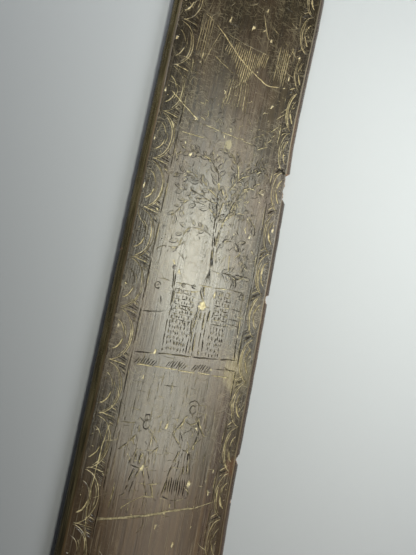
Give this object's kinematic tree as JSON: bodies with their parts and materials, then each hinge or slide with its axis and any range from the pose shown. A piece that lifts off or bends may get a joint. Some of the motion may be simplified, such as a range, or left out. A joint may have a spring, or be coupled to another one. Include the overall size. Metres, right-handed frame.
{
  "type": "scrimshaw busk",
  "caption": "Scrimshaw busk: a flat bevelled strip of dark baleen with scalloped borders, a leafy tree over brick walls and standing figures cut into its face.",
  "frame": {"origin": "middle of the flat back, at the centre of the strip's footprint", "axes": "+Z out of the engraved face, +Y along the strip towards the tree's crown, +X to the right when the picture is upright"},
  "size_m": [0.0406, 0.33, 0.0037],
  "materials": {
    "baleen": "polished baleen (keratin), semi-gloss, pale scratched engraving"
  },
  "bodies": {
    "root": {"busk": "baleen"}
  },
  "joints": []
}
